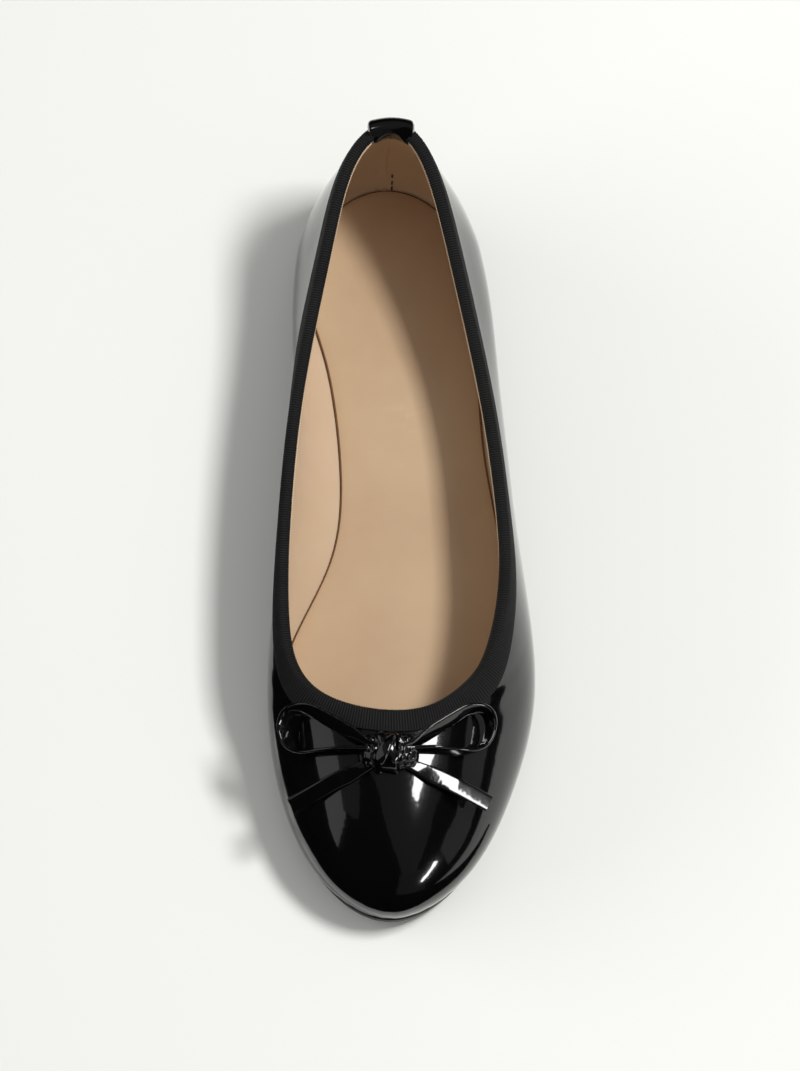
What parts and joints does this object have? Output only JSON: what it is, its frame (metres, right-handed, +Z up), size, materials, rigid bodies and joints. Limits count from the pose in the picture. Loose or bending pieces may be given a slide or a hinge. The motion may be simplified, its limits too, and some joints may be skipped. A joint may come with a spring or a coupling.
{
  "type": "ballet flat",
  "caption": "Left ballet flat in black patent leather with a low heel, ribbed collar tape, heel tab and a narrow bow at the throat.",
  "frame": {"origin": "middle of the underside of the shoe's bounding box, on the floor that it stands on", "axes": "+Z up, the toe to -Y and the heel to +Y, the shoe's outer (lateral) side to +X"},
  "size_m": [0.0842, 0.2546, 0.0654],
  "materials": {
    "patent_black": "black patent leather, mirror gloss",
    "grosgrain_black": "black ribbed grosgrain tape, matt",
    "insole_beige": "smooth beige lining leather, satin",
    "outsole_black": "black sole sheet, satin",
    "heel_black": "black painted heel block, satin",
    "top_lift_rubber": "black rubber wear piece, matt"
  },
  "bodies": {
    "root": {"outsole": "outsole_black", "heel": "heel_black", "top_lift": "top_lift_rubber", "insole": "insole_beige", "upper": "patent_black", "topline_binding": "grosgrain_black", "heel_tab": "patent_black", "bow_loop_outer": "patent_black", "bow_loop_inner": "patent_black", "bow_tail_outer": "patent_black", "bow_tail_inner": "patent_black", "bow_knot": "patent_black"}
  },
  "joints": []
}
